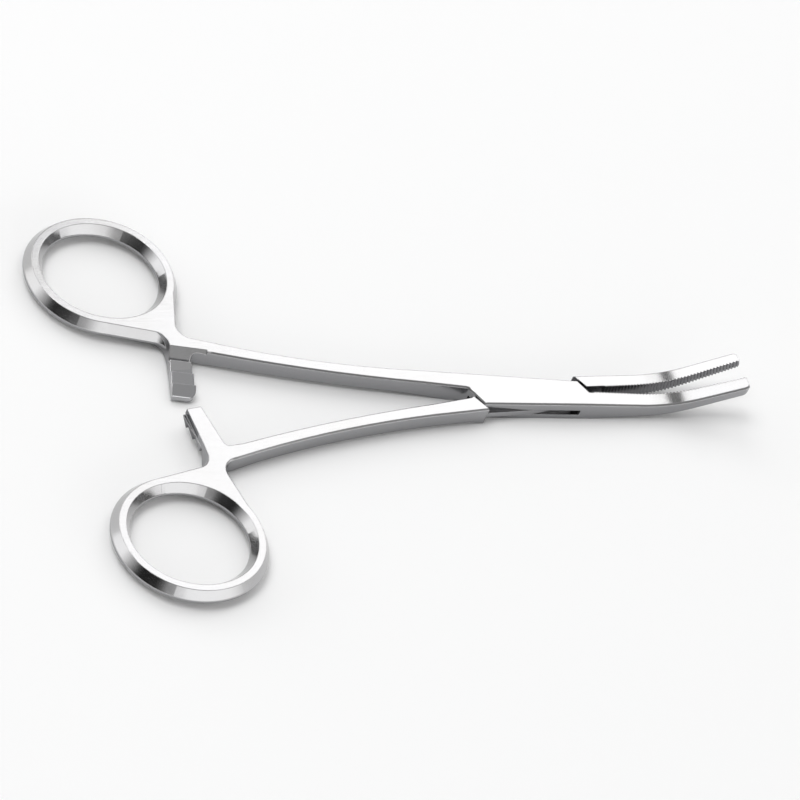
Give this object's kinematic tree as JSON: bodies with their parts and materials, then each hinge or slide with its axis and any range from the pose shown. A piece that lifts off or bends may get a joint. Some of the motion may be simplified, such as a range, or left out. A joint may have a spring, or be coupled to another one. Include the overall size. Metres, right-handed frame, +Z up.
{
  "type": "hemostat forceps",
  "caption": "Curved locking surgical forceps: ring handles, a toothed ratchet between the shanks, a box lock joint and curved, finely serrated jaws.",
  "frame": {"origin": "on the hinge pin's axis, at the flat underside of the box lock", "axes": "+X from the finger rings to the jaws, +Y towards the finger ring of the slotted half, +Z up, along the hinge pin, the way the jaws curve"},
  "size_m": [0.1403, 0.0926, 0.0093],
  "materials": {
    "forged_steel": "mirror-polished martensitic stainless steel",
    "pin_steel": "stainless steel pin, riveted flush and polished with the box"
  },
  "bodies": {
    "slotted_half": {"box_half": "forged_steel", "hinge_pin": "pin_steel"},
    "sliding_half": {"waist_half": "forged_steel"}
  },
  "joints": [
    {"name": "box_lock", "type": "hinge", "parent": "slotted_half", "child": "sliding_half", "pos_m": [0, 0, 0.00205], "axis": [0, 0, 1], "range_deg": [-5.4, 55]}
  ]
}
